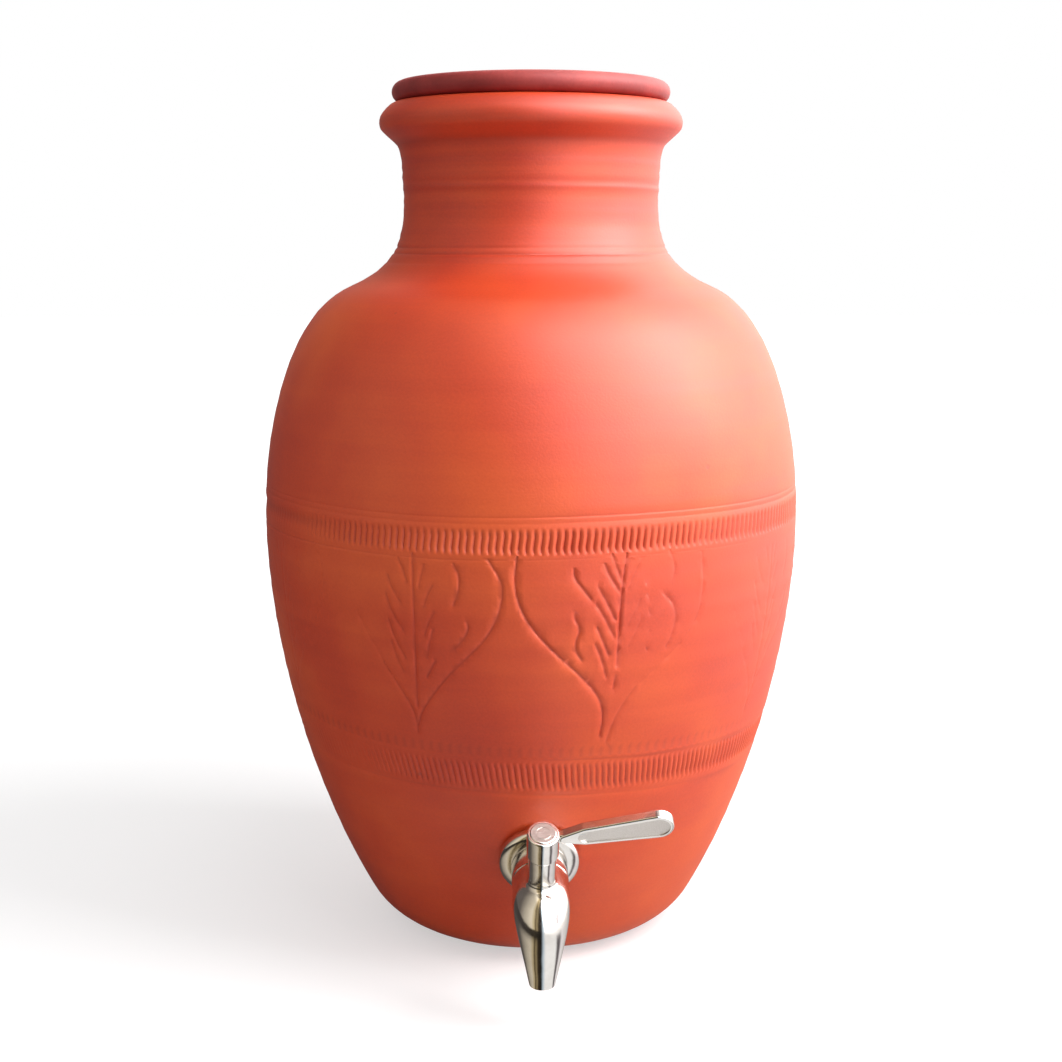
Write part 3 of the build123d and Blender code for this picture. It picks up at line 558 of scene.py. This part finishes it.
clay = add(tree, "ValToRGB", {"Fac": tone}, [(0.31, "#BE310A"), (0.49, "#CD3F0C"), (0.69, "#DC5316")])
grained = add(tree, "Mix", {0: 0.16, 6: clay, 7: grain}, data_type="RGBA", blend_type="OVERLAY")
# Darker red in the cuts and under the rim: painted shade, with some dirt in the cuts.
recess_dirt_and_shade = add(tree, "Attribute", attribute_name="recess_dirt_and_shade")
shade = add(tree, "MapRange", {"Value": recess_dirt_and_shade.outputs["Fac"], 1: 0.12, 2: 0.7, 3: 0.0, 4: 0.6})
shaded = add(tree, "Mix", {0: shade, 6: grained.outputs[2], 7: linear("#9A250E")}, data_type="RGBA")
pits = add(tree, "TexVoronoi", {"Vector": clay_place, "Scale": 42.0})
chosen = add(tree, "Math", {0: pits.outputs["Color"], 1: 0.8}, operation="GREATER_THAN")
pit_shape = add(tree, "MapRange", {"Value": pits, 1: 0.03, 2: 0.05, 3: 1.0, 4: 0.0})
pit = add(tree, "Math", {0: pit_shape, 1: chosen}, operation="MULTIPLY")
pit_tint = add(tree, "Math", {0: pit, 1: 0.4}, operation="MULTIPLY")
clay_colour = add(tree, "Mix", {0: pit_tint, 6: shaded.outputs[2], 7: linear("#8A2F1C")}, data_type="RGBA")
relief = add(tree, "Math", {0: rings, 1: 0.8, 2: grain}, operation="MULTIPLY_ADD")
relief = add(tree, "Math", {0: pit, 1: -0.7, 2: relief}, operation="MULTIPLY_ADD")
bump = add(tree, "Bump", {"Height": relief, "Strength": 0.16, "Distance": 0.0003})
sheen = add(tree, "MapRange", {"Value": rings, 3: 0.46, 4: 0.54})
shader = add(tree, "BsdfPrincipled", {"Base Color": clay_colour.outputs[2], "Roughness": sheen,
                                      "Normal": bump, "Specular IOR Level": 0.75})
add(tree, "OutputMaterial", {"Surface": shader})
pot.data.materials.append(terracotta)


# ---- Lid --------------------------------------------------------------------------------
# A disc of the same clay with a full round edge, turned flat with a low knob in its dish and
# a ring below that drops into the mouth. It is coated with a darker, purplish red slip.
LID_LOW, LID_HIGH, LID_EDGE, KNOB_HIGH = LIP_HEIGHT, 384.0, 61.8, 387.0
lid_half = (LID_HIGH - LID_LOW) / 2
lid_outline = [(0, LID_LOW), (20, LID_LOW), (41.6, LID_LOW), (42.5, 374.4), (42.5, 367.8), (43.3, 367.0),
               (47.7, 367.0), (48.5, 367.8), (48.5, 374.4), (49.2, LID_LOW), (54.0, LID_LOW)]
lid_outline += [(LID_EDGE - lid_half + lid_half * math.cos(a), LID_LOW + lid_half + lid_half * math.sin(a))
                for a in np.radians(np.linspace(-90, 90, 13))]
lid_outline += [(53.5, LID_HIGH), (51.0, LID_HIGH), (49.4, 383.7), (47.2, 382.6), (44.4, 381.0),
                (41.5, 380.5), (36, 380.6), (32, 380.4), (28, 380.6), (22, 380.4), (16, 380.6),
                (13.6, 380.7), (13.0, 381.3), (12.9, 384.6), (12.2, 386.2), (10.4, KNOB_HIGH),
                (6, KNOB_HIGH), (0, KNOB_HIGH)]
lid_mesh = bmesh.new()
spun(lid_mesh, lid_outline, COARSE)
bmesh.ops.recalc_face_normals(lid_mesh, faces=lid_mesh.faces)
lid = new_piece("lid_disc", lid_mesh, "lid", "dark_clay", "pot_lid")

# Slip of a finer, iron-rich clay, brushed on and fired: nearly matt, mottled over 26 mm, with
# 1 mm grain.
dark_slip, tree = new_material("dark_slip_clay")
clay_place = add(tree, "TexCoord").outputs["Object"]
patches = add(tree, "TexNoise", {"Vector": clay_place, "Scale": 38.0, "Detail": 4.0, "Roughness": 0.6})
grain = add(tree, "TexNoise", {"Vector": clay_place, "Scale": 900.0, "Detail": 3.0})
slip = add(tree, "ValToRGB", {"Fac": patches}, [(0.35, "#84201E"), (0.5, "#952A27"), (0.68, "#A83A34")])
slip = add(tree, "Mix", {0: 0.18, 6: slip, 7: grain}, data_type="RGBA", blend_type="OVERLAY")
bump = add(tree, "Bump", {"Height": grain, "Strength": 0.25, "Distance": 0.0003})
shader = add(tree, "BsdfPrincipled", {"Base Color": slip.outputs[2], "Roughness": 0.55,
                                      "Normal": bump, "Specular IOR Level": 0.55})
add(tree, "OutputMaterial", {"Surface": shader})
lid.data.materials.append(dark_slip)


# ---- Tap: body, wall flange, lever and cap ------------------------------------------------
# Stainless steel castings, ground and buffed to a mirror. Buffing leaves waves 8 mm long, hair
# marks 2 mm long and 0.4 mm apart, and smudges 6 mm wide that are duller.
polished, tree = new_material("stainless_polished")
steel_place = add(tree, "TexCoord").outputs["Object"]
waviness = add(tree, "TexNoise", {"Vector": steel_place, "Scale": 120.0, "Detail": 1.0})
smudges = add(tree, "TexNoise", {"Vector": steel_place, "Scale": 170.0, "Detail": 4.0})
hair_place = add(tree, "Mapping", {"Vector": steel_place, "Scale": (500.0, 500.0, 2600.0)})
hairs = add(tree, "TexNoise", {"Vector": hair_place, "Scale": 1.0, "Detail": 2.0})
relief = add(tree, "Math", {0: hairs, 1: 0.04, 2: waviness}, operation="MULTIPLY_ADD")
bump = add(tree, "Bump", {"Height": relief, "Strength": 0.25, "Distance": 0.0006})
shine = add(tree, "MapRange", {"Value": smudges, 1: 0.3, 2: 0.75, 3: 0.08, 4: 0.19})
steel_tone = add(tree, "ValToRGB", {"Fac": smudges}, [(0.3, "#D9D4CE"), (0.7, "#E4E0DB")])
shader = add(tree, "BsdfPrincipled", {"Base Color": steel_tone, "Metallic": 1.0, "Roughness": shine,
                                      "Normal": bump})
add(tree, "OutputMaterial", {"Surface": shader})

# The same steel, blasted with fine grit: grey and matt, with a grain of 0.4 mm.
blasted, tree = new_material("stainless_blasted")
steel_place = add(tree, "TexCoord").outputs["Object"]
grit = add(tree, "TexNoise", {"Vector": steel_place, "Scale": 2500.0, "Detail": 2.0})
bump = add(tree, "Bump", {"Height": grit, "Strength": 0.3, "Distance": 0.00012})
grit_tone = add(tree, "ValToRGB", {"Fac": grit}, [(0.3, "#D2CAC2"), (0.7, "#E0D9D3")])
shader = add(tree, "BsdfPrincipled", {"Base Color": grit_tone, "Metallic": 1.0, "Roughness": 0.45,
                                      "Normal": bump})
add(tree, "OutputMaterial", {"Surface": shader})


def dress(name, material):
    """Gives a CAD node its finish."""
    nodes[name].data.materials.clear()
    nodes[name].data.materials.append(material)


for name in ("tap_body", "wall_flange", "lever_handle", "cap_button"):
    dress(name, polished)

# The sunk panels in the lever's two sides keep their blasted face. They are found by how far
# they lie from the lever's middle plane, which holds the stem's axis.
STEM_FOOT = Vector((0, -0.118167, 0.0508323))      # the ball's centre
STEM_BACK = Vector((0, 0.870180, 0.492735))        # square to the lever's flat sides
PANEL_FROM_MIDDLE, PANEL_START = 0.0017, 0.012
FACING = 0.99                                      # cosine that counts as facing squarely
lever_data = nodes["lever_handle"].data
lever_data.materials.append(blasted)
for face in lever_data.polygons:
    sideways = abs((face.center - STEM_FOOT).dot(STEM_BACK))
    flat = abs(face.normal.dot(STEM_BACK)) > FACING
    if flat and abs(sideways - PANEL_FROM_MIDDLE) < 0.0001 and face.center.x > PANEL_START:
        face.material_index = 1


# ---- Shank, nut, washer, and the valve's turned steel pieces ---------------------------------
# All turned or stamped from stainless bar and sheet, and left with the lathe's fine rings,
# 0.6 mm apart. Their threads are plain cylinders, as in the solids.
turned, tree = new_material("stainless_turned")
steel_place = add(tree, "TexCoord").outputs["Object"]
ring_place = add(tree, "Mapping", {"Vector": steel_place, "Scale": (300.0, 1600.0, 1600.0)})
lathe_rings = add(tree, "TexNoise", {"Vector": ring_place, "Scale": 1.0, "Detail": 2.0})
bump = add(tree, "Bump", {"Height": lathe_rings, "Strength": 0.25, "Distance": 0.0001})
shine = add(tree, "MapRange", {"Value": lathe_rings, 3: 0.24, 4: 0.40})
steel_tone = add(tree, "ValToRGB", {"Fac": lathe_rings}, [(0.3, "#B0ACA7"), (0.7, "#BDB9B4")])
shader = add(tree, "BsdfPrincipled", {"Base Color": steel_tone, "Metallic": 1.0, "Roughness": shine,
                                      "Normal": bump})
add(tree, "OutputMaterial", {"Surface": shader})
for name in ("steel_washer", "back_nut", "valve_ball", "stem", "stop_pin", "handle_screw", "tap_shank"):
    dress(name, turned)

# The cap's face is turned too, inside its polished edge.
STEM_UP = Vector((0, -0.492735, 0.870180))
cap_data = nodes["cap_button"].data
cap_data.materials.append(turned)
for face in cap_data.polygons:
    if face.normal.dot(STEM_UP) > FACING:
        face.material_index = 1


# ---- Seals ----------------------------------------------------------------------------------
# Moulded silicone washers squeeze against the clay on both sides; the ball turns between two
# white PTFE rings with a third under the handle, and two black rubber rings seal its stem.

# Moulded silicone: off-white with a soft, dull skin, clouded over 3 mm.
silicone, tree = new_material("silicone_moulded")
seal_place = add(tree, "TexCoord").outputs["Object"]
haze = add(tree, "TexNoise", {"Vector": seal_place, "Scale": 300.0, "Detail": 2.0})
haze_tone = add(tree, "ValToRGB", {"Fac": haze}, [(0.3, "#CFCBC2"), (0.7, "#DDDAD2")])
shader = add(tree, "BsdfPrincipled", {"Base Color": haze_tone, "Roughness": 0.55})
add(tree, "OutputMaterial", {"Surface": shader})

# Machined PTFE: a hard, waxy white, marked by the tool over 2 mm.
ptfe, tree = new_material("ptfe_machined")
seal_place = add(tree, "TexCoord").outputs["Object"]
haze = add(tree, "TexNoise", {"Vector": seal_place, "Scale": 600.0, "Detail": 2.0})
haze_tone = add(tree, "ValToRGB", {"Fac": haze}, [(0.3, "#E4E4DF"), (0.7, "#F0F0EC")])
shader = add(tree, "BsdfPrincipled", {"Base Color": haze_tone, "Roughness": 0.42})
add(tree, "OutputMaterial", {"Surface": shader})

# Moulded nitrile rubber: black and dull, with a faint grey bloom over 1 mm.
rubber, tree = new_material("nitrile_rubber")
seal_place = add(tree, "TexCoord").outputs["Object"]
bloom = add(tree, "TexNoise", {"Vector": seal_place, "Scale": 900.0, "Detail": 2.0})
bloom_tone = add(tree, "ValToRGB", {"Fac": bloom}, [(0.3, "#151515"), (0.7, "#222222")])
shader = add(tree, "BsdfPrincipled", {"Base Color": bloom_tone, "Roughness": 0.6})
add(tree, "OutputMaterial", {"Surface": shader})

for name in ("outer_washer", "inner_washer"):
    dress(name, silicone)
for name in ("seat_ring_front", "seat_ring_back", "thrust_washer"):
    dress(name, ptfe)
dress("stem_rings", rubber)


# ---- Floor, sky and lamps ---------------------------------------------------------------------
# A pale seamless floor under a white sky, a large soft lamp high on the right and a weak,
# high one that keeps the top and the left from going black.
FLOOR_HALF = 6.0
floor_mesh = bmesh.new()
bmesh.ops.create_grid(floor_mesh, x_segments=1, y_segments=1, size=FLOOR_HALF)
floor_data = bpy.data.meshes.new("floor")
floor_mesh.to_mesh(floor_data)
floor_mesh.free()
floor = bpy.data.objects.new("floor", floor_data)
bpy.context.scene.collection.objects.link(floor)

# White paper that the camera sees a little lifted, and more so from 0.3 to 1.4 m away.
floor_paint, tree = new_material("floor_paper")
ray = add(tree, "LightPath")
floor_place = add(tree, "TexCoord").outputs["Object"]
away = add(tree, "VectorMath", {0: floor_place}, operation="LENGTH").outputs["Value"]
whiter = add(tree, "MapRange", {"Value": away, 1: 0.3, 2: 1.4, 3: 0.52, 4: 0.86})
lift = add(tree, "Math", {0: ray.outputs["Is Camera Ray"], 1: whiter}, operation="MULTIPLY")
matt = add(tree, "BsdfDiffuse", {"Color": linear("#C4C4C4")})
glow = add(tree, "Emission", {"Strength": lift})
paper = add(tree, "AddShader", {0: matt, 1: glow})

# What gloss sees of the room, as a share of the way round and a colour, from behind round by
# the left, front and right: bands of wall, furniture and windows. The steel sees the lit
# room. Over the floor away from the tap the left side has painted shade.
LIT_ROOM = [(0.0, "#A8A4A2"), (0.10, "#55504E"), (0.20, "#5A5450"), (0.27, "#A0988A"), (0.36, "#CFC5B2"),
            (0.395, "#B8A884"), (0.41, "#4A3D2A"), (0.43, "#9A8A68"), (0.45, "#3A3025"), (0.485, "#1F1D1A"),
            (0.505, "#BFD0DE"), (0.53, "#FFFFFF"), (0.645, "#FFFFFF"), (0.67, "#6A6466"), (0.70, "#6A6466"),
            (0.73, "#F4F0F4"), (0.80, "#E2DEDD"), (0.88, "#B0ACAA"), (1.0, "#A8A4A2")]
SHADED_ROOM = [(0.0, "#A8A4A2"), (0.12, "#4E4947"), (0.25, "#403B39"), (0.40, "#3A342B"), (0.485, "#1F1D1A"),
               (0.505, "#BFD0DE"), (0.53, "#FFFFFF"), (0.80, "#E2DEDD"), (0.88, "#B0ACAA"), (1.0, "#A8A4A2")]


def room_bands(tree, way, bands):
    """The bands of the room that gloss sees that way."""
    parts = add(tree, "SeparateXYZ", {0: way})
    forward = add(tree, "Math", {0: parts.outputs["Y"], 1: -1.0}, operation="MULTIPLY")
    turn = add(tree, "Math", {0: parts.outputs["X"], 1: forward}, operation="ARCTAN2")
    share = add(tree, "MapRange", {"Value": turn, 1: -math.pi, 2: math.pi})
    return add(tree, "ValToRGB", {"Fac": share}, bands)


# On the floor these bands are a painted reflection, a glow that only gloss sees. They stand round
# the foot of the tap, painted light within 0.1 m of it and painted shade past 0.2 m, and are brighter to the
# right.
TAP_FOOT, LIT_WITHIN, SHADED_PAST = (0.0, -0.11, 0.0), 0.10, 0.2
from_foot = add(tree, "VectorMath", {0: floor_place, 1: TAP_FOOT}, operation="SUBTRACT")
rightward = add(tree, "SeparateXYZ", {0: floor_place})
brighter = add(tree, "MapRange", {"Value": rightward, 1: 0.1, 2: 0.9, 3: 1.1, 4: 4.0})
foot_distance = add(tree, "VectorMath", {0: from_foot}, operation="LENGTH").outputs["Value"]
near = add(tree, "MapRange", {"Value": foot_distance, 1: LIT_WITHIN, 2: SHADED_PAST, 3: 1.0, 4: 0.0})
bands = add(tree, "Mix", {0: near, 6: room_bands(tree, from_foot, SHADED_ROOM),
                          7: room_bands(tree, from_foot, LIT_ROOM)}, data_type="RGBA")
mirror_glow = add(tree, "Emission", {"Color": bands.outputs[2], "Strength": brighter})
paper = add(tree, "MixShader", {0: ray.outputs["Is Glossy Ray"], 1: paper, 2: mirror_glow})
add(tree, "OutputMaterial", {"Surface": paper})
floor.data.materials.append(floor_paint)

# The sky lights the matt surfaces evenly, a touch more from the right, and only the camera sees
# the white backdrop. Gloss sees the room's bands, with a tall window high on the right that
# dims below eye level, and a dim ceiling straight above.
WHITE = linear("#FFFFFF")
sky = bpy.data.worlds.new("sky")
bpy.context.scene.world = sky
sky.use_nodes = True
tree = sky.node_tree
tree.nodes.clear()
ray = add(tree, "LightPath")
way = add(tree, "TexCoord").outputs["Generated"]
towards = add(tree, "SeparateXYZ", {0: way})
sideways, upward = towards.outputs["X"], towards.outputs["Z"]
room = add(tree, "MapRange", {"Value": sideways, 1: -0.7, 2: 0.9, 3: 0.54, 4: 0.62})
lit = add(tree, "Background", {"Color": WHITE, "Strength": room})
up_right = add(tree, "Math", {0: upward, 1: 0.58, 2: sideways}, operation="MULTIPLY_ADD")
window = add(tree, "MapRange", {"Value": up_right, 1: 0.1, 2: 0.65, 3: 0.0, 4: 7.0},
             interpolation_type="SMOOTHSTEP")
higher = add(tree, "MapRange", {"Value": upward, 1: -0.3, 2: 0.3, 3: 0.3}, interpolation_type="SMOOTHSTEP")
ceiling = add(tree, "MapRange", {"Value": upward, 1: 0.92, 2: 0.98, 3: 1.0, 4: 0.1})
bright_side = add(tree, "Math", {0: window, 1: higher, 2: 0.65}, operation="MULTIPLY_ADD")
brighter = add(tree, "Math", {0: bright_side, 1: ceiling, 2: 0.85}, operation="MULTIPLY_ADD")
mirrored = add(tree, "Background", {"Color": room_bands(tree, way, LIT_ROOM), "Strength": brighter})
white = add(tree, "Background", {"Color": WHITE, "Strength": 1.0})
around = add(tree, "MixShader", {0: ray.outputs["Is Glossy Ray"], 1: lit, 2: mirrored})
seen = add(tree, "Math", {0: ray.outputs["Is Camera Ray"], 1: ray.outputs["Is Transmission Ray"]},
           operation="MAXIMUM")
backdrop = add(tree, "MixShader", {0: seen, 1: around, 2: white})
add(tree, "OutputWorld", {"Surface": backdrop})


def soft_lamp(name, place, target, size, power):
    """A soft rectangular lamp at a place, turned to its target."""
    lamp = bpy.data.lights.new(name, "AREA")
    lamp.shape, lamp.size, lamp.size_y, lamp.energy = "RECTANGLE", size[0], size[1], power
    made = bpy.data.objects.new(name, lamp)
    bpy.context.scene.collection.objects.link(made)
    made.location = place
    made.rotation_euler = (Vector(target) - Vector(place)).to_track_quat("-Z", "Y").to_euler()


soft_lamp("key", (1.2, -0.42, 1.1), (0, 0, 0.22), (0.9, 1.1), 30)
soft_lamp("top", (0.35, -0.5, 1.5), (0, 0, 0.3), (0.9, 0.9), 5)
bpy.context.scene.view_settings.view_transform = "Standard"
